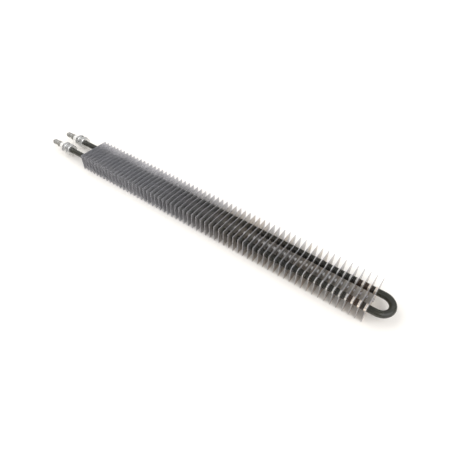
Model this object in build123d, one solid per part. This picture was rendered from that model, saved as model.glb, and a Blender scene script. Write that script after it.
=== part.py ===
"""Finned tubular heating element: a U-bent heater tube with 63 plate fins and two screwed-in cold ends.

Millimetres. X runs along the legs, with the U-bend at +X and the terminals at -X. Y runs across the two
legs, which lie either side of Y = 0. The origin is under the middle of the whole length, on the surface
that the fins' lower edges stand on, with +Z up.
"""
import os
from math import copysign, cos, radians, tan

from build123d import *

# Heater tube
SHEATH_D = 8.5  # outside diameter of the rolled sheath
SHEATH_WALL = 0.7
LEG_SPACING = 27.0  # between the axes of the two legs
BEND_RUN = 8.6  # straight run from the last fin to the start of the U-bend
COLD_RUN = 40.0  # bare tube from the first fin to the mounting bush
SHEATH_STICKOUT = 1.5  # sheath past the threaded end of the bush

# What the sheath holds
COIL_D = 3.8  # outside of the wound resistance wire
COLD_PIN_D = 3.0
COLD_PIN_LENGTH = 54.0
FILL_RECESS = 9.0  # from the mouth of the sheath to the packed magnesia

# Fins
FIN_COUNT = 63
FIN_PITCH = 7.5
FIN_WIDTH = 50.0
FIN_HEIGHT = 25.0
FIN_SHEET = 0.5
COLLAR_HEIGHT = 3.0  # drawn collar, measured from the face of the plate
COLLAR_WALL = 0.5
COLLAR_FLAT_COUNT = 8
PILOT_LENGTH = 4.0  # slot midway between the collars, by which the strip is fed through the die
PILOT_WIDTH = 2.0

# Mounting bush, with its washer and lock nut
BUSH_HEX_AF = 17.0
BUSH_HEX_HEIGHT = 6.0
THREAD_D = 14.0
THREAD_LENGTH = 12.5
THREAD_CHAMFER = 1.0
WASHER_D = 18.0
WASHER_THICKNESS = 1.5
PANEL_ROOM = 2.5  # left for the panel between the sealing washer and the lock nut
LOCK_NUT_AF = 17.0
LOCK_NUT_HEIGHT = 6.0
HEX_CHAMFER_DEG = 30.0

# End of the element
CERAMIC_HEAD_D = 9.5
CERAMIC_HEAD_LENGTH = 8.0
CERAMIC_SPIGOT_LENGTH = 5.0
CERAMIC_CHAMFER = 0.8

# Terminal stud and the hardware on it
STUD_D = 5.0
STUD_ROOT = 4.0  # stud inside the insulator's spigot, where the cold pin is welded to it
STUD_TAIL = 3.5  # free end past the counter nut
TERMINAL_NUT_AF = 8.0
TERMINAL_NUT_HEIGHT = 4.7
TERMINAL_WASHER_D = 10.0
TERMINAL_WASHER_THICKNESS = 1.0
SPRING_WASHER_D = 9.2
SPRING_WASHER_THICKNESS = 1.3
SPRING_WASHER_SPLIT = 1.0

# Clearances
NEST_GAP = 0.02  # between round pieces packed or pressed into one another
FIN_GAP = 0.04  # between a collar's flats and the sheath
THREAD_GAP = 0.05  # between a threaded piece and the nut or washer on it

# Places along X, worked out from the middle of the whole length
hardware_length = 3 * TERMINAL_NUT_HEIGHT + 2 * TERMINAL_WASHER_THICKNESS + SPRING_WASHER_THICKNESS
fin_run = (FIN_COUNT - 1) * FIN_PITCH
length = (
    STUD_TAIL + hardware_length + CERAMIC_HEAD_LENGTH + SHEATH_STICKOUT + THREAD_LENGTH + BUSH_HEX_HEIGHT
    + COLD_RUN + fin_run + BEND_RUN + (LEG_SPACING + SHEATH_D) / 2
)
x_bend = length / 2 - (LEG_SPACING + SHEATH_D) / 2
x_last_fin = x_bend - BEND_RUN
x_first_fin = x_last_fin - fin_run
x_bush = x_first_fin - COLD_RUN
x_seat = x_bush - BUSH_HEX_HEIGHT
x_thread_end = x_seat - THREAD_LENGTH
x_mouth = x_thread_end - SHEATH_STICKOUT
x_fill = x_mouth + FILL_RECESS
x_coil = x_fill + COLD_PIN_LENGTH
x_ceramic = x_mouth - CERAMIC_HEAD_LENGTH
x_stud_end = -length / 2

axis_height = FIN_HEIGHT / 2
bore_d = SHEATH_D - 2 * SHEATH_WALL
fill_d = bore_d - 2 * NEST_GAP
LEGS = {"front": -LEG_SPACING / 2, "back": LEG_SPACING / 2}


def across(x, y=0):
    """The plane square to the legs at x, with its own X along the object's Y."""
    return Plane((x, y, axis_height), x_dir=(0, 1, 0), z_dir=(1, 0, 0))


def hairpin(diameter, x_end):
    """A solid rod bent to the U, with both ends at x_end."""
    front_end = Vector(x_end, LEGS["front"], axis_height)
    front_bend = Vector(x_bend, LEGS["front"], axis_height)
    tip = Vector(x_bend + LEG_SPACING / 2, 0, axis_height)
    back_bend = Vector(x_bend, LEGS["back"], axis_height)
    back_end = Vector(x_end, LEGS["back"], axis_height)
    path = Wire([
        Edge.make_line(front_end, front_bend),
        Edge.make_three_point_arc(front_bend, tip, back_bend),
        Edge.make_line(back_bend, back_end),
    ])
    return sweep(across(x_end, LEGS["front"]) * Circle(diameter / 2), path=path)


def rod(x_start, x_stop, diameter, leg):
    """A round bar along one leg's axis, between two places on X."""
    return extrude(across(x_start, LEGS[leg]) * Circle(diameter / 2), x_stop - x_start)


def hexagon(x_start, height, across_flats, leg):
    """A hexagonal prism along one leg's axis."""
    outline = RegularPolygon(across_flats / 2, 6, major_radius=False)
    return extrude(across(x_start, LEGS[leg]) * outline, height)


def turned_hexagon(x_flat, x_turned, across_flats, leg):
    """A hexagonal prism from x_flat to x_turned, with its corners turned off at x_turned."""
    flat_radius = across_flats / 2
    corner_radius = flat_radius / cos(radians(30))
    towards = copysign(1, x_turned - x_flat)
    x_full = x_turned - towards * (corner_radius - flat_radius) * tan(radians(HEX_CHAMFER_DEG))
    y = LEGS[leg]
    chamfer_cone = loft([
        across(x_full, y) * Circle(corner_radius),
        across(x_turned, y) * Circle(flat_radius),
    ])
    prism = hexagon(x_flat, x_full - x_flat, across_flats, leg)
    return prism + (hexagon(x_full, x_turned - x_full, across_flats, leg) & chamfer_cone)


def sheath_tube():
    return hairpin(SHEATH_D, x_mouth) - hairpin(bore_d, x_mouth)


def magnesia_fill():
    """Packed powder round the coil and the inner ends of the cold pins."""
    fill = hairpin(fill_d, x_fill) - hairpin(COIL_D + 2 * NEST_GAP, x_coil)
    for leg in LEGS:
        fill -= rod(x_fill, x_coil, COLD_PIN_D + 2 * NEST_GAP, leg)
    return fill


def heating_coil():
    """The wound resistance wire as one rod of its outside diameter, from pin to pin."""
    return hairpin(COIL_D, x_coil)


def cold_pin(leg):
    return rod(x_mouth + STUD_ROOT, x_coil, COLD_PIN_D, leg)


def fin_plate(x_face):
    """One plate fin on both legs, with its drawn collars towards the terminals."""
    bore_radius = SHEATH_D / 2 + FIN_GAP
    collar = RegularPolygon(bore_radius + COLLAR_WALL, COLLAR_FLAT_COUNT, major_radius=False)
    bore = RegularPolygon(bore_radius, COLLAR_FLAT_COUNT, major_radius=False)
    outline = Rectangle(FIN_WIDTH, FIN_HEIGHT) - Rectangle(PILOT_LENGTH, PILOT_WIDTH)
    fin = extrude(across(x_face) * outline, FIN_SHEET)
    for y in LEGS.values():
        fin += extrude(across(x_face, y) * collar, -COLLAR_HEIGHT)
        fin -= extrude(across(x_face - COLLAR_HEIGHT, y) * bore, COLLAR_HEIGHT + FIN_SHEET)
    return fin


def mounting_bush(leg):
    """Threaded bush fixed on the sheath: a hexagonal collar, then the thread towards the terminal."""
    thread = rod(x_thread_end, x_seat, THREAD_D, leg)
    mouth_edge = thread.edges().filter_by(GeomType.CIRCLE).sort_by(Axis.X)[0]
    bush = turned_hexagon(x_seat, x_bush, BUSH_HEX_AF, leg) + chamfer(mouth_edge, THREAD_CHAMFER)
    return bush - rod(x_thread_end, x_bush, SHEATH_D + 2 * NEST_GAP, leg)


def sealing_washer(leg):
    x_far = x_seat - WASHER_THICKNESS
    return rod(x_far, x_seat, WASHER_D, leg) - rod(x_far, x_seat, THREAD_D + 2 * THREAD_GAP, leg)


def lock_nut(leg):
    x_near = x_seat - WASHER_THICKNESS - PANEL_ROOM
    x_far = x_near - LOCK_NUT_HEIGHT
    nut = turned_hexagon(x_near, x_far, LOCK_NUT_AF, leg)
    return nut - rod(x_far, x_near, THREAD_D + 2 * THREAD_GAP, leg)


def end_seal(leg):
    """Poured resin round the cold pin, between the magnesia and the insulator's spigot."""
    x_spigot = x_mouth + CERAMIC_SPIGOT_LENGTH
    seal = rod(x_spigot, x_fill, fill_d, leg)
    return seal - rod(x_spigot, x_fill, COLD_PIN_D + 2 * NEST_GAP, leg)


def ceramic_insulator(leg):
    """Fired bush: a spigot in the mouth of the sheath and a round head between it and the hardware."""
    spigot = rod(x_mouth, x_mouth + CERAMIC_SPIGOT_LENGTH, fill_d, leg)
    head = rod(x_ceramic, x_mouth, CERAMIC_HEAD_D, leg)
    outer_edge = head.edges().filter_by(GeomType.CIRCLE).sort_by(Axis.X)[0]
    bush = spigot + chamfer(outer_edge, CERAMIC_CHAMFER)
    return bush - rod(x_ceramic, x_mouth + CERAMIC_SPIGOT_LENGTH, STUD_D + 2 * NEST_GAP, leg)


def terminal_stud(leg):
    """Screwed stud through the insulator, butt-welded to the cold pin."""
    return rod(x_stud_end, x_mouth + STUD_ROOT, STUD_D, leg)


def terminal_nut(x_near, leg):
    """A small hexagon nut with its inner face at x_near."""
    x_far = x_near - TERMINAL_NUT_HEIGHT
    nut = hexagon(x_far, TERMINAL_NUT_HEIGHT, TERMINAL_NUT_AF, leg)
    return nut - rod(x_far, x_near, STUD_D + 2 * THREAD_GAP, leg)


def terminal_washer(x_near, leg):
    x_far = x_near - TERMINAL_WASHER_THICKNESS
    washer = rod(x_far, x_near, TERMINAL_WASHER_D, leg)
    return washer - rod(x_far, x_near, STUD_D + 2 * THREAD_GAP, leg)


def spring_washer(x_near, leg):
    """A ring with one cut through it, at the top."""
    x_far = x_near - SPRING_WASHER_THICKNESS
    ring = rod(x_far, x_near, SPRING_WASHER_D, leg) - rod(x_far, x_near, STUD_D + 2 * THREAD_GAP, leg)
    cut_place = ((x_far + x_near) / 2, LEGS[leg], axis_height + SPRING_WASHER_D / 4)
    return ring - Pos(*cut_place) * Box(SPRING_WASHER_THICKNESS, SPRING_WASHER_SPLIT, SPRING_WASHER_D / 2)


def element_end(leg):
    """Every piece of one cold end, by name."""
    x_inner_nut = x_ceramic
    x_inner_washer = x_inner_nut - TERMINAL_NUT_HEIGHT
    x_outer_washer = x_inner_washer - TERMINAL_WASHER_THICKNESS
    x_spring_washer = x_outer_washer - TERMINAL_WASHER_THICKNESS
    x_outer_nut = x_spring_washer - SPRING_WASHER_THICKNESS
    x_counter_nut = x_outer_nut - TERMINAL_NUT_HEIGHT
    return {
        "cold_pin": cold_pin(leg),
        "end_seal": end_seal(leg),
        "ceramic_insulator": ceramic_insulator(leg),
        "mounting_bush": mounting_bush(leg),
        "sealing_washer": sealing_washer(leg),
        "lock_nut": lock_nut(leg),
        "terminal_stud": terminal_stud(leg),
        "terminal_inner_nut": terminal_nut(x_inner_nut, leg),
        "terminal_inner_washer": terminal_washer(x_inner_washer, leg),
        "terminal_outer_washer": terminal_washer(x_outer_washer, leg),
        "terminal_spring_washer": spring_washer(x_spring_washer, leg),
        "terminal_outer_nut": terminal_nut(x_outer_nut, leg),
        "terminal_counter_nut": terminal_nut(x_counter_nut, leg),
    }


def fins():
    first = fin_plate(x_first_fin)
    return Compound([Pos(index * FIN_PITCH, 0, 0) * first for index in range(FIN_COUNT)])


os.makedirs("parts", exist_ok=True)

pieces = {
    "sheath_tube": sheath_tube(),
    "magnesia_fill": magnesia_fill(),
    "heating_coil": heating_coil(),
    "fins": fins(),
}
for leg in LEGS:
    for name, shape in element_end(leg).items():
        pieces[f"{name}_{leg}"] = shape

for name, shape in pieces.items():
    export_step(shape, f"parts/{name}.step")
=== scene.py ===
"""Finned tubular heating element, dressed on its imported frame. Metres, in the frame's own axes:
X along the legs to the U-bend, Y across them, Z up."""
from math import cos, hypot, pi, radians, sin, tan

import bmesh
import bpy
from mathutils import Matrix, Vector


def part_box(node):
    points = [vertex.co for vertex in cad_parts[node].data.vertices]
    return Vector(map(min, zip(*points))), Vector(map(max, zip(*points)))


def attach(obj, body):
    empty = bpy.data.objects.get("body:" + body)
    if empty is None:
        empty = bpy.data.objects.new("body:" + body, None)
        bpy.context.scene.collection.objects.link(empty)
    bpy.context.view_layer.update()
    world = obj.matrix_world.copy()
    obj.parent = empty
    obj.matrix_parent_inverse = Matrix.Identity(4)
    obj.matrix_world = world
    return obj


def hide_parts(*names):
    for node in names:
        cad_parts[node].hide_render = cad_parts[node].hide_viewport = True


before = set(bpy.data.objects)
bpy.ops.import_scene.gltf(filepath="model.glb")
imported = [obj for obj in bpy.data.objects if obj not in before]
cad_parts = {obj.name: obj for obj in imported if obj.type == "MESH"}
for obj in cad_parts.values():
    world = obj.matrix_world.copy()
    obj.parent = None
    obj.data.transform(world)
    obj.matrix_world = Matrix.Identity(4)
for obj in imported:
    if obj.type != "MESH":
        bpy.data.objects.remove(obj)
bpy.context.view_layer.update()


# Heater tube: one steel tube, rolled down on its packing and bent to a hairpin. Heat has left it a dark
# olive-black oxide with a soft sheen, lighter where it has been handled, and a painted brown reflection at the last
# fins.
sheath_low, sheath_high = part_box("sheath_tube")
axis_height = (sheath_low.z + sheath_high.z) / 2
sheath_radius = (sheath_high.z - sheath_low.z) / 2
leg_y = sheath_high.y - sheath_radius
legs = {"front": -leg_y, "back": leg_y}


def node_group(name, inputs, outputs):
    """An empty shader group with named sockets, and its input and output nodes."""
    group = bpy.data.node_groups.new(name, "ShaderNodeTree")
    for label, kind, value in inputs:
        socket = group.interface.new_socket(label, in_out="INPUT", socket_type=kind)
        socket.default_value = value
    for label, kind in outputs:
        group.interface.new_socket(label, in_out="OUTPUT", socket_type=kind)
    return group, group.nodes.new("NodeGroupInput"), group.nodes.new("NodeGroupOutput")


def map_value(nodes, link, value, start, end, at_start=0.0, at_end=1.0, interpolation="LINEAR"):
    """Brings a value between start and end to a value between at_start and at_end."""
    node = nodes.new("ShaderNodeMapRange")
    node.interpolation_type = interpolation
    node.inputs["From Min"].default_value = start
    node.inputs["From Max"].default_value = end
    node.inputs["To Min"].default_value = at_start
    node.inputs["To Max"].default_value = at_end
    link(value, node.inputs["Value"])
    return node.outputs["Result"]


def grey_ramp(nodes, link, value, stops):
    """An eased ramp through greys at the given places."""
    node = nodes.new("ShaderNodeValToRGB")
    ramp = node.color_ramp
    ramp.interpolation = "EASE"
    for place, grey in stops:
        ramp.elements.new(place).color = (grey, grey, grey, 1)
    ramp.elements.remove(ramp.elements[-1])
    ramp.elements.remove(ramp.elements[0])
    link(value, node.inputs["Fac"])
    return node.outputs["Color"]


def mottle_group():
    """Cloudy variation: blends two colours by soft noise, and gives the same noise as a value."""
    group, given, out = node_group(
        "mottle",
        [("Light", "NodeSocketColor", (1, 1, 1, 1)), ("Dark", "NodeSocketColor", (0, 0, 0, 1)),
         ("Scale", "NodeSocketFloat", 60.0), ("Low", "NodeSocketFloat", 0.35), ("High", "NodeSocketFloat", 0.65)],
        [("Color", "NodeSocketColor"), ("Value", "NodeSocketFloat")],
    )
    place = group.nodes.new("ShaderNodeTexCoord")
    noise = group.nodes.new("ShaderNodeTexNoise")
    noise.inputs["Detail"].default_value = 4.0
    spread = group.nodes.new("ShaderNodeMapRange")
    blend = group.nodes.new("ShaderNodeMix")
    blend.data_type = "RGBA"
    link = group.links.new
    link(place.outputs["Object"], noise.inputs["Vector"])
    link(given.outputs["Scale"], noise.inputs["Scale"])
    link(noise.outputs["Fac"], spread.inputs["Value"])
    link(given.outputs["Low"], spread.inputs["From Min"])
    link(given.outputs["High"], spread.inputs["From Max"])
    link(spread.outputs["Result"], blend.inputs["Factor"])
    link(given.outputs["Dark"], blend.inputs["A"])
    link(given.outputs["Light"], blend.inputs["B"])
    link(blend.outputs["Result"], out.inputs["Color"])
    link(spread.outputs["Result"], out.inputs["Value"])
    return group


def grain_group():
    """Fine surface grain, as a bumped normal."""
    group, given, out = node_group(
        "grain", [("Strength", "NodeSocketFloat", 0.1), ("Scale", "NodeSocketFloat", 900.0)],
        [("Normal", "NodeSocketVector")],
    )
    place = group.nodes.new("ShaderNodeTexCoord")
    fine = group.nodes.new("ShaderNodeTexNoise")
    bump = group.nodes.new("ShaderNodeBump")
    bump.inputs["Distance"].default_value = 0.0001
    link = group.links.new
    link(place.outputs["Object"], fine.inputs["Vector"])
    link(given.outputs["Scale"], fine.inputs["Scale"])
    link(given.outputs["Strength"], bump.inputs["Strength"])
    link(fine.outputs["Fac"], bump.inputs["Height"])
    link(bump.outputs["Normal"], out.inputs["Normal"])
    return group


mottle = mottle_group()
grain = grain_group()


def finish_of(name, light, dark, scale, rough_low, rough_high, metallic, grain_strength=0.0):
    """A Principled material whose colour and roughness follow the mottle, with a fine grain bump."""
    material = bpy.data.materials.new(name)
    material.use_nodes = True
    nodes, link = material.node_tree.nodes, material.node_tree.links.new
    shader = nodes["Principled BSDF"]
    shader.inputs["Metallic"].default_value = metallic
    clouds = nodes.new("ShaderNodeGroup")
    clouds.node_tree = mottle
    clouds.inputs["Light"].default_value = (*light, 1)
    clouds.inputs["Dark"].default_value = (*dark, 1)
    clouds.inputs["Scale"].default_value = scale
    rough = map_value(nodes, link, clouds.outputs["Value"], 0.0, 1.0, rough_high, rough_low)
    link(clouds.outputs["Color"], shader.inputs["Base Color"])
    link(rough, shader.inputs["Roughness"])
    if grain_strength:
        texture = nodes.new("ShaderNodeGroup")
        texture.node_tree = grain
        texture.inputs["Strength"].default_value = grain_strength
        link(texture.outputs["Normal"], shader.inputs["Normal"])
    return material


def dress(material, *node_names):
    """Gives plain solids their finish."""
    for name in node_names:
        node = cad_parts[name]
        node.data.materials.clear()
        node.data.materials.append(material)


oxidised_steel = finish_of(
    "oxidised_steel", light=(0.022, 0.022, 0.013), dark=(0.010, 0.010, 0.006), scale=90.0,
    rough_low=0.26, rough_high=0.38, metallic=0.0, grain_strength=0.12,
)
nodes, link = oxidised_steel.node_tree.nodes, oxidised_steel.node_tree.links.new
shader = nodes["Principled BSDF"]
shader.inputs["Specular IOR Level"].default_value = 0.6
olive = shader.inputs["Base Color"].links[0].from_socket
place = nodes.new("ShaderNodeTexCoord")
split = nodes.new("ShaderNodeSeparateXYZ")
link(place.outputs["Object"], split.inputs["Vector"])
# Painted reflection: a brown band mixed into the tube's colour at the last fins, where the warm tinted fins would be
# mirrored.
last_fins = map_value(nodes, link, split.outputs["X"], 0.220, 0.270)
painted_brown_reflection = grey_ramp(nodes, link, last_fins, ((0.28, 0.0), (0.50, 1.0), (0.64, 1.0), (0.86, 0.0)))
painted_reflection_mix = nodes.new("ShaderNodeMix")
painted_reflection_mix.data_type = "RGBA"
painted_reflection_mix.inputs["B"].default_value = (0.050, 0.024, 0.010, 1)
link(painted_brown_reflection, painted_reflection_mix.inputs["Factor"])
link(olive, painted_reflection_mix.inputs["A"])
link(painted_reflection_mix.outputs["Result"], shader.inputs["Base Color"])
dress(oxidised_steel, "sheath_tube")


# Fins: thin steel plates, each pierced and drawn in one stroke so that a short collar grips each leg on the
# side towards the terminals. A small drawn slot midway between the collars feeds the strip through the die.
# They are pushed on to the tube one by one, and the heat of the last anneal has tinted those near the bend.
fins_low, fins_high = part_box("fins")
fin_count = 63
fin_pitch = 0.0075
fin_sheet = 0.0005
collar_height = 0.003
collar_wall = 0.0005
collar_flare = 0.0007
collar_clearance = 0.00002
pilot_half_length = 0.002
pilot_half_width = 0.001
pilot_lip = 0.0008
pilot_lip_height = 0.0002
pilot_shoulder = 0.0005
pilot_wall = 0.0004
pilot_rim = 0.0012
collar_steps = 24
pilot_steps = 12
first_fin_x = fins_low.x + collar_height
fin_half_width = (fins_high.y - fins_low.y) / 2


def ring_of(bm, x, y, radius, steps):
    """A closed ring of edges square to X, round one leg's axis."""
    place = Matrix.Translation((x, y, axis_height)) @ Matrix.Rotation(pi / 2, 4, "Y")
    made = bmesh.ops.create_circle(bm, cap_ends=False, segments=steps, radius=radius, matrix=place)
    return list({edge for vert in made["verts"] for edge in vert.link_edges})


def slot_ring(bm, x, grow):
    """A round ring drawn out to the pilot slot's oblong, larger than the slot by grow on every side."""
    edges = ring_of(bm, x, 0.0, 1.0, pilot_steps)
    for vert in {vert for edge in edges for vert in edge.verts}:
        across, height = vert.co.y, vert.co.z - axis_height
        vert.co.y = across * (pilot_half_width + grow) + (pilot_half_length - pilot_half_width) * (
            (across > 0.1) - (across < -0.1)
        )
        vert.co.z = axis_height + height * (pilot_half_width + grow)
    return edges


def collared_fin(name):
    """The first fin: the plate's two faces with their holes, joined by the collars, the slot and the edges."""
    bm = bmesh.new()
    inner = sheath_radius + collar_clearance
    outer = inner + collar_wall
    x_back, x_face = first_fin_x, first_fin_x + fin_sheet
    for x, hole, slot in ((x_back, outer + collar_flare, 0.0), (x_face, inner + collar_flare, pilot_lip)):
        border = [
            bm.verts.new((x, y * fin_half_width, z))
            for y, z in ((-1, fins_low.z), (1, fins_low.z), (1, fins_high.z), (-1, fins_high.z))
        ]
        edges = [bm.edges.new((border[i], border[i - 1])) for i in range(4)]
        edges += [edge for y in legs.values() for edge in ring_of(bm, x, y, hole, collar_steps)]
        edges += slot_ring(bm, x, slot)
        bmesh.ops.triangle_fill(bm, use_beauty=True, edges=edges)
    for y in legs.values():
        x_end = x_back - collar_height
        profile = [
            (x_back, outer + collar_flare), (x_back - 0.3 * collar_flare, outer + 0.3 * collar_flare),
            (x_back - collar_flare, outer), (x_end, outer), (x_end, inner), (x_face - collar_flare, inner),
            (x_face - 0.3 * collar_flare, inner + 0.3 * collar_flare), (x_face, inner + collar_flare),
        ]
        rings = [ring_of(bm, x, y, radius, collar_steps) for x, radius in profile]
        for near, far in zip(rings, rings[1:]):
            bmesh.ops.bridge_loops(bm, edges=near + far)
    rim_profile = [
        (x_face, pilot_lip), (x_face + pilot_lip_height, pilot_shoulder), (x_face + pilot_rim, pilot_wall),
        (x_face + pilot_rim, 0.0), (x_back, 0.0),
    ]
    rings = [slot_ring(bm, x, grow) for x, grow in rim_profile]
    for near, far in zip(rings, rings[1:]):
        bmesh.ops.bridge_loops(bm, edges=near + far)
    bmesh.ops.remove_doubles(bm, verts=bm.verts, dist=1e-6)
    bmesh.ops.bridge_loops(bm, edges=[edge for edge in bm.edges if edge.is_boundary])
    bmesh.ops.recalc_face_normals(bm, faces=bm.faces)
    mesh = bpy.data.meshes.new(name)
    bm.to_mesh(mesh)
    bm.free()
    return mesh


def fin_stack():
    """All the fins as one piece: the first one, copied along the legs."""
    pattern = collared_fin("fin")
    bm = bmesh.new()
    for index in range(fin_count):
        start = len(bm.verts)
        bm.from_mesh(pattern)
        bm.verts.ensure_lookup_table()
        bmesh.ops.translate(bm, vec=(index * fin_pitch, 0, 0), verts=bm.verts[start:])
    for face in bm.faces:
        face.smooth = True
    mesh = bpy.data.meshes.new("plate_fins")
    bm.to_mesh(mesh)
    bm.free()
    stack = bpy.data.objects.new("plate_fins", mesh)
    bpy.context.collection.objects.link(stack)
    return stack


def near_axis(nodes, link, y, inside, outside):
    """A mask of 1 within a radius of the line along X at +-y and axis height, falling to 0 outside it."""
    place = nodes.new("ShaderNodeTexCoord")
    folded = nodes.new("ShaderNodeVectorMath")
    folded.operation = "ABSOLUTE"
    centred = nodes.new("ShaderNodeVectorMath")
    centred.operation = "SUBTRACT"
    centred.inputs[1].default_value = (0, y, axis_height)
    flat = nodes.new("ShaderNodeVectorMath")
    flat.operation = "MULTIPLY"
    flat.inputs[1].default_value = (0, 1, 1)
    distance = nodes.new("ShaderNodeVectorMath")
    distance.operation = "LENGTH"
    link(place.outputs["Object"], folded.inputs[0])
    link(folded.outputs["Vector"], centred.inputs[0])
    link(centred.outputs["Vector"], flat.inputs[0])
    link(flat.outputs["Vector"], distance.inputs[0])
    return map_value(nodes, link, distance.outputs["Value"], outside, inside)


def calculate(nodes, link, operation, first, second=None):
    """A Math node on sockets or plain numbers."""
    node = nodes.new("ShaderNodeMath")
    node.operation = operation
    for socket, value in zip(node.inputs, (first, second)):
        if isinstance(value, bpy.types.NodeSocket):
            link(value, socket)
        elif value is not None:
            socket.default_value = value
    return node.outputs["Value"]


def fin_finish():
    """Satin sheet, lilac grey at the terminals, with darker and smoother metal and straw tints towards the bend,
    where the outer edges keep light as painted reflection. Its sheared edges are a plain grey; the drawn collars are
    lighter, partly burnish and partly painted highlight, and the slots carry painted highlights."""
    material = finish_of(
        "fin_steel", light=(0.68, 0.68, 0.71), dark=(0.54, 0.54, 0.57), scale=45.0,
        rough_low=0.38, rough_high=0.50, metallic=0.85, grain_strength=0.08,
    )
    nodes, link = material.node_tree.nodes, material.node_tree.links.new
    shader = nodes["Principled BSDF"]
    sheet_color = shader.inputs["Base Color"].links[0].from_socket
    sheet_rough = shader.inputs["Roughness"].links[0].from_socket
    place = nodes.new("ShaderNodeTexCoord")
    split = nodes.new("ShaderNodeSeparateXYZ")
    link(place.outputs["Object"], split.inputs["Vector"])

    def blend(kind, factor, first, second):
        mix = nodes.new("ShaderNodeMix")
        mix.data_type = kind
        sockets = [socket for socket in mix.inputs if socket.enabled]
        link(factor, sockets[0])
        link(first, sockets[1])
        sockets[2].default_value = second
        return next(socket for socket in mix.outputs if socket.enabled)

    def both(first, second):
        return calculate(nodes, link, "MULTIPLY", first, second)

    def along(axis, start, end):
        return map_value(nodes, link, split.outputs[axis], start, end, interpolation="SMOOTHSTEP")

    # Where the heat has reached: the whole hot half and the straw zone; and the last few fins, where the collars get
    # a painted highlight.
    hot_half = along("X", -0.12, 0.16)
    straw_zone = along("X", -0.02, 0.20)
    last_fins = along("X", 0.234, 0.252)
    # Painted reflection: towards the bend the plates darken fully only round the legs, and their outer edges, front
    # and back, keep most of their light colour.
    out_from_axis = calculate(nodes, link, "ABSOLUTE", split.outputs["Y"])
    bend_dark_and_painted_edge_light = both(map_value(nodes, link, out_from_axis, 0.014, 0.025, 1.0, 0.25), hot_half)

    # Straw tint, in cloudy patches and all along the lower edge.
    patches = nodes.new("ShaderNodeTexNoise")
    patches.inputs["Scale"].default_value = 34.0
    patches.inputs["Detail"].default_value = 2.0
    link(place.outputs["Object"], patches.inputs["Vector"])
    patch = map_value(nodes, link, patches.outputs["Fac"], 0.42, 0.60)
    straw = both(calculate(nodes, link, "MAXIMUM", patch, along("Z", 0.013, 0.002)), straw_zone)

    # Sheared edges, which are the faces that don't look along the legs, the drawn collars, and the painted highlights
    # on the slots' rims.
    facing = nodes.new("ShaderNodeSeparateXYZ")
    link(place.outputs["Normal"], facing.inputs["Vector"])
    sheared = calculate(nodes, link, "LESS_THAN", calculate(nodes, link, "ABSOLUTE", facing.outputs["X"]), 0.5)
    collars = near_axis(nodes, link, leg_y, sheath_radius + 0.0010, sheath_radius + 0.0014)
    # Painted highlight: the slots' rims are near white and less metallic, fading out over the last fins.
    painted_slot_highlight = both(near_axis(nodes, link, 0.0, 0.0025, 0.0028), along("X", 0.238, 0.216))

    color = blend("RGBA", bend_dark_and_painted_edge_light, sheet_color, (0.34, 0.33, 0.325, 1))
    color = blend("RGBA", straw, color, (0.55, 0.47, 0.385, 1))
    color = blend("RGBA", sheared, color, (0.36, 0.36, 0.385, 1))
    color = blend("RGBA", both(sheared, hot_half), color, (0.52, 0.52, 0.545, 1))
    # The collars' light colour is partly burnish and partly painted highlight; at the last fins it is a nearly white
    # painted highlight.
    color = blend("RGBA", collars, color, (0.66, 0.65, 0.62, 1))
    color = blend("RGBA", both(collars, last_fins), color, (0.96, 0.87, 0.78, 1))
    color = blend("RGBA", painted_slot_highlight, color, (0.97, 0.97, 0.97, 1))
    rough = blend("FLOAT", hot_half, sheet_rough, 0.26)
    rough = blend("FLOAT", collars, rough, 0.30)
    link(color, shader.inputs["Base Color"])
    link(rough, shader.inputs["Roughness"])
    link(map_value(nodes, link, painted_slot_highlight, 0.0, 1.0, 0.85, 0.3), shader.inputs["Metallic"])
    return material


fin_steel = fin_finish()
plate_fins = fin_stack()
plate_fins.data.materials.append(fin_steel)
plate_fins.data.set_sharp_from_angle(angle=radians(40))
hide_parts("fins")
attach(plate_fins, "root")


# Mounting bushes: turned from hexagon steel bar, threaded M14 x 1.5 and nickel plated. Each is pressed on its
# leg, and its thread goes through the panel. Thread depths are shares of the pitch, and turned_face is the
# share of half the width over flats that a turned end keeps flat.
bright_plate = finish_of(
    "bright_plate", light=(0.78, 0.78, 0.77), dark=(0.66, 0.66, 0.65), scale=120.0,
    rough_low=0.26, rough_high=0.36, metallic=1.0, grain_strength=0.05,
)
bush_thread_radius = 0.007
bush_thread_pitch = 0.0015
bush_bore_lead = 0.0003
turned_steps = 48
turned_face = 0.96
thread_depth = 0.6134
nut_thread_depth = 0.54


def cut_off(bm, through, outward, keep_outside=False):
    """Cuts everything that lies beyond a plane, and returns the edges of the cut."""
    cut = bmesh.ops.bisect_plane(
        bm, geom=bm.verts[:] + bm.edges[:] + bm.faces[:], dist=1e-7, plane_co=through, plane_no=outward,
        clear_inner=keep_outside, clear_outer=not keep_outside,
    )
    return [part for part in cut["geom_cut"] if isinstance(part, bmesh.types.BMEdge)]


def lathe(bm, y, profile, steps):
    """Turns a profile of places along X and radii right round one leg's axis."""
    points = [bm.verts.new((x, y, axis_height + radius)) for x, radius in profile]
    edges = [bm.edges.new(pair) for pair in zip(points, points[1:])]
    bmesh.ops.spin(
        bm, geom=points + edges, cent=(0, y, axis_height), axis=(1, 0, 0), angle=2 * pi, steps=steps,
        use_merge=True,
    )


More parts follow.
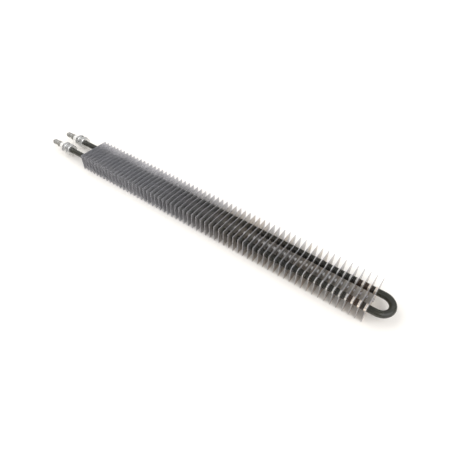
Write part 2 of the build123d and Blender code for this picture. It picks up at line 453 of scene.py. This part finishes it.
def threaded_rod(y, x_low, x_high, crest, pitch, bore=0.0, steps=32):
    """A real helical thread along X, run out to its root at both ends, with square ends and perhaps a bore.
    Its crest is an eighth of the pitch wide and its root a quarter."""
    bm = bmesh.new()
    root = crest - thread_depth * pitch
    start = x_low - 1.5 * pitch
    turns = int((x_high - x_low) / pitch) + 3
    chain = [
        bm.verts.new((start + (turn + along) * pitch, y, axis_height + radius))
        for turn in range(turns)
        for along, radius in ((0.0, crest), (0.125, crest), (0.4375, root), (0.6875, root))
    ]
    chain.append(bm.verts.new((start + turns * pitch, y, axis_height + crest)))
    ridge = chain + [bm.edges.new(pair) for pair in zip(chain, chain[1:])]
    bmesh.ops.spin(
        bm, geom=ridge, cent=(0, y, axis_height), axis=(1, 0, 0), dvec=(pitch / steps, 0, 0), angle=2 * pi,
        steps=steps,
    )
    bmesh.ops.remove_doubles(bm, verts=bm.verts, dist=1e-6)
    cut_off(bm, (x_low, 0, 0), (1, 0, 0), keep_outside=True)
    cut_off(bm, (x_high, 0, 0), (1, 0, 0))
    for vert in bm.verts:
        across, height = vert.co.y - y, vert.co.z - axis_height
        allowed = root + max(0.0, min(vert.co.x - x_low, x_high - vert.co.x))
        kept = min(1.0, allowed / hypot(across, height))
        vert.co.y, vert.co.z = y + kept * across, axis_height + kept * height
    if bore:
        lathe(bm, y, [(x_low, bore), (x_high, bore)], steps)
    ends = [edge for edge in bm.edges if edge.is_boundary]
    for x in (x_low, x_high):
        end = [edge for edge in ends if abs(edge.verts[0].co.x - x) < 1e-6]
        bmesh.ops.triangle_fill(bm, use_beauty=True, edges=end)
    return bm


def chamfered_hexagon(y, x_low, x_high, across_flats, bore, mouth):
    """A hexagon with 30 degree turned chamfers, corners level, round a bore that opens to a wider mouth."""
    bm = bmesh.new()
    flat = across_flats / 2
    corner = flat / cos(pi / 6)
    face = turned_face * flat
    chamfer = (corner - face) * tan(pi / 6)
    lead = mouth - bore
    profile = [
        (x_low, mouth), (x_low, face), (x_low + chamfer, corner), (x_high - chamfer, corner), (x_high, face),
        (x_high, mouth), (x_high - lead, bore), (x_low + lead, bore),
    ]
    lathe(bm, y, profile + profile[:1], turned_steps)
    bmesh.ops.remove_doubles(bm, verts=bm.verts, dist=1e-6)
    for side in range(6):
        outward = Vector((0, cos(pi / 6 + side * pi / 3), sin(pi / 6 + side * pi / 3)))
        rim = cut_off(bm, Vector((0, y, axis_height)) + flat * outward, outward)
        bmesh.ops.edgeloop_fill(bm, edges=rim)
    return bm


def turned_piece(node, slot, finish, *shells):
    """Joins the closed shells of a turned piece, and puts it in the place of its plain solid."""
    bm = bmesh.new()
    for shell in shells:
        loose = bpy.data.meshes.new("shell")
        shell.to_mesh(loose)
        shell.free()
        bm.from_mesh(loose)
        bpy.data.meshes.remove(loose)
    bmesh.ops.recalc_face_normals(bm, faces=bm.faces)
    for face in bm.faces:
        face.smooth = True
    mesh = bpy.data.meshes.new(f"turned_{node}")
    bm.to_mesh(mesh)
    bm.free()
    mesh.set_sharp_from_angle(angle=radians(28))
    mesh.materials.append(finish)
    piece = bpy.data.objects.new(f"turned_{node}", mesh)
    bpy.context.collection.objects.link(piece)
    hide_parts(node)
    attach(piece, "root")


for leg, y in legs.items():
    bush_low, bush_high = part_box(f"mounting_bush_{leg}")
    seat_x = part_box(f"sealing_washer_{leg}")[1].x
    turned_piece(
        f"mounting_bush_{leg}", "bush_steel", bright_plate,
        threaded_rod(
            y, bush_low.x, seat_x, bush_thread_radius, bush_thread_pitch, bore=sheath_radius, steps=turned_steps
        ),
        chamfered_hexagon(
            y, seat_x, bush_high.x, bush_high.z - bush_low.z,
            bore=sheath_radius, mouth=sheath_radius + bush_bore_lead,
        ),
    )


# Sealing washers and lock nuts: the panel is gripped between the washer at the bush's seat and the nut,
# which is a plain chamfered hexagon that runs on the bush's thread. Both are steel, zinc plated, and as bright
# as the bush.
for leg, y in legs.items():
    dress(bright_plate, f"sealing_washer_{leg}")
    nut_low, nut_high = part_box(f"lock_nut_{leg}")
    turned_piece(
        f"lock_nut_{leg}", "plated_steel", bright_plate,
        chamfered_hexagon(
            y, nut_low.x, nut_high.x, nut_high.z - nut_low.z,
            bore=bush_thread_radius - nut_thread_depth * bush_thread_pitch, mouth=bush_thread_radius,
        ),
    )


# Ceramic insulators: fired white bushes with a dull glaze. Each has a spigot in the mouth of the tube and a
# round head between the tube and the terminal hardware, and the stud goes through its middle.
ceramic = finish_of(
    "ceramic", light=(0.86, 0.85, 0.82), dark=(0.80, 0.79, 0.76), scale=150.0,
    rough_low=0.40, rough_high=0.55, metallic=0.0, grain_strength=0.10,
)
for leg in legs:
    dress(ceramic, f"ceramic_insulator_{leg}")


# Terminals: an M5 stud, nuts and washers on each leg, all nickel plated steel. The inner nut bears on the
# insulator. A lead's tag goes between the two flat washers, under the spring washer and the outer nut, and the
# counter nut locks them.
terminal_plate = finish_of(
    "terminal_plate", light=(0.66, 0.65, 0.62), dark=(0.52, 0.51, 0.48), scale=200.0,
    rough_low=0.28, rough_high=0.40, metallic=1.0, grain_strength=0.05,
)
stud_thread_pitch = 0.0008
for leg, y in legs.items():
    dress(terminal_plate, *(f"terminal_{piece}_{leg}" for piece in ("inner_washer", "outer_washer", "spring_washer")))
    stud_low, stud_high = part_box(f"terminal_stud_{leg}")
    stud_radius = (stud_high.z - stud_low.z) / 2
    turned_piece(
        f"terminal_stud_{leg}", "terminal_steel", terminal_plate,
        threaded_rod(y, stud_low.x, stud_high.x, stud_radius, stud_thread_pitch, steps=24),
    )
    for nut in ("inner_nut", "outer_nut", "counter_nut"):
        nut_low, nut_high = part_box(f"terminal_{nut}_{leg}")
        turned_piece(
            f"terminal_{nut}_{leg}", "terminal_steel", terminal_plate,
            chamfered_hexagon(
                y, nut_low.x, nut_high.x, nut_high.z - nut_low.z,
                bore=stud_radius - nut_thread_depth * stud_thread_pitch, mouth=stud_radius,
            ),
        )


# Inside the tube: wound resistance wire between two drawn steel cold pins, held in packed magnesia powder, with
# poured silicone resin between the magnesia and each insulator. None of it shows from outside.
drawn_wire = finish_of(
    "drawn_wire", light=(0.50, 0.49, 0.48), dark=(0.40, 0.39, 0.38), scale=150.0,
    rough_low=0.30, rough_high=0.45, metallic=1.0,
)
magnesia = finish_of(
    "magnesia", light=(0.80, 0.80, 0.77), dark=(0.72, 0.72, 0.69), scale=200.0,
    rough_low=0.85, rough_high=0.95, metallic=0.0, grain_strength=0.3,
)
seal_resin = finish_of(
    "seal_resin", light=(0.42, 0.16, 0.08), dark=(0.34, 0.12, 0.06), scale=120.0,
    rough_low=0.45, rough_high=0.60, metallic=0.0,
)
dress(drawn_wire, "heating_coil", "cold_pin_front", "cold_pin_back")
dress(magnesia, "magnesia_fill")
dress(seal_resin, "end_seal_front", "end_seal_back")


# Studio: a warm white floor under the fins' lower edges, a room that is white high up and dimmer towards its
# walls, and two large soft lamps beyond the two ends. Only the one beyond the bend is mirrored in the metal.
def any_view_ray(nodes, link):
    """Reads 1 for every ray that shows the surroundings, straight, mirrored or through glass."""
    path = nodes.new("ShaderNodeLightPath").outputs
    direct = calculate(nodes, link, "MAXIMUM", path["Is Camera Ray"], path["Is Glossy Ray"])
    return calculate(nodes, link, "MAXIMUM", direct, path["Is Transmission Ray"])


floor_lift = 0.05
floor_white = bpy.data.materials.new("floor_white")
floor_white.use_nodes = True
nodes, link = floor_white.node_tree.nodes, floor_white.node_tree.links.new
shader = nodes["Principled BSDF"]
shader.inputs["Base Color"].default_value = (0.94, 0.91, 0.87, 1)
shader.inputs["Roughness"].default_value = 0.9
shader.inputs["Specular IOR Level"].default_value = 0.0
shader.inputs["Emission Color"].default_value = (1, 1, 1, 1)
lifted = calculate(nodes, link, "MULTIPLY", any_view_ray(nodes, link), floor_lift)
link(lifted, shader.inputs["Emission Strength"])

bpy.ops.mesh.primitive_plane_add(size=40, location=(0, 0, 0))
floor = bpy.context.object
floor.name = "floor"
floor.data.materials.append(floor_white)

room = bpy.data.worlds.new("room")
room.use_nodes = True
bpy.context.scene.world = room
nodes, link = room.node_tree.nodes, room.node_tree.links.new
sky = nodes["Background"]
aim = nodes.new("ShaderNodeTexCoord")
height = nodes.new("ShaderNodeSeparateXYZ")
link(aim.outputs["Generated"], height.inputs["Vector"])
wall_greys = ((0.10, 0.25), (0.45, 0.45), (0.64, 1.0), (0.80, 1.0), (0.95, 0.4))
link(grey_ramp(nodes, link, height.outputs["Z"], wall_greys), sky.inputs["Color"])
sky.inputs["Strength"].default_value = 1.05


def soft_lamp(name, place, size, power, mirrored):
    """A round area lamp that looks at the middle of the element."""
    lamp = bpy.data.lights.new(name, "AREA")
    lamp.shape = "DISK"
    lamp.size = size
    lamp.energy = power
    holder = bpy.data.objects.new(name, lamp)
    holder.location = place
    holder.rotation_euler = (-Vector(place)).to_track_quat("-Z", "Y").to_euler()
    holder.visible_glossy = mirrored
    bpy.context.collection.objects.link(holder)


soft_lamp("beyond_terminals", (-3.0, -0.75, 2.25), size=5.5, power=94.0, mirrored=False)
soft_lamp("beyond_bend", (3.0, -0.75, 2.25), size=5.0, power=94.0, mirrored=True)


# Camera: high over the bend end, on the front leg's side, looking down across the legs and back towards the
# terminals. Its place along X is measured from the last fin.
camera = bpy.data.cameras.new("camera")
camera.sensor_width = 36.0
camera.lens = 31.46
camera.clip_start = 0.01
last_fin_x = fins_high.x - fin_sheet
yaw, pitch, roll = radians(-37.24), radians(44.25), radians(-0.25)
forward = Vector((sin(yaw) * cos(pitch), cos(yaw) * cos(pitch), -sin(pitch)))
level_right = Vector((cos(yaw), -sin(yaw), 0))
level_up = level_right.cross(forward)
right = cos(roll) * level_right + sin(roll) * level_up
up = -sin(roll) * level_right + cos(roll) * level_up
seat = Matrix((right, up, -forward)).transposed().to_4x4()
seat.translation = (last_fin_x + 0.0235, -0.2981, 0.3732)
eye = bpy.data.objects.new("camera", camera)
eye.matrix_world = seat
bpy.context.collection.objects.link(eye)
bpy.context.scene.camera = eye

bpy.context.scene.view_settings.view_transform = "Standard"
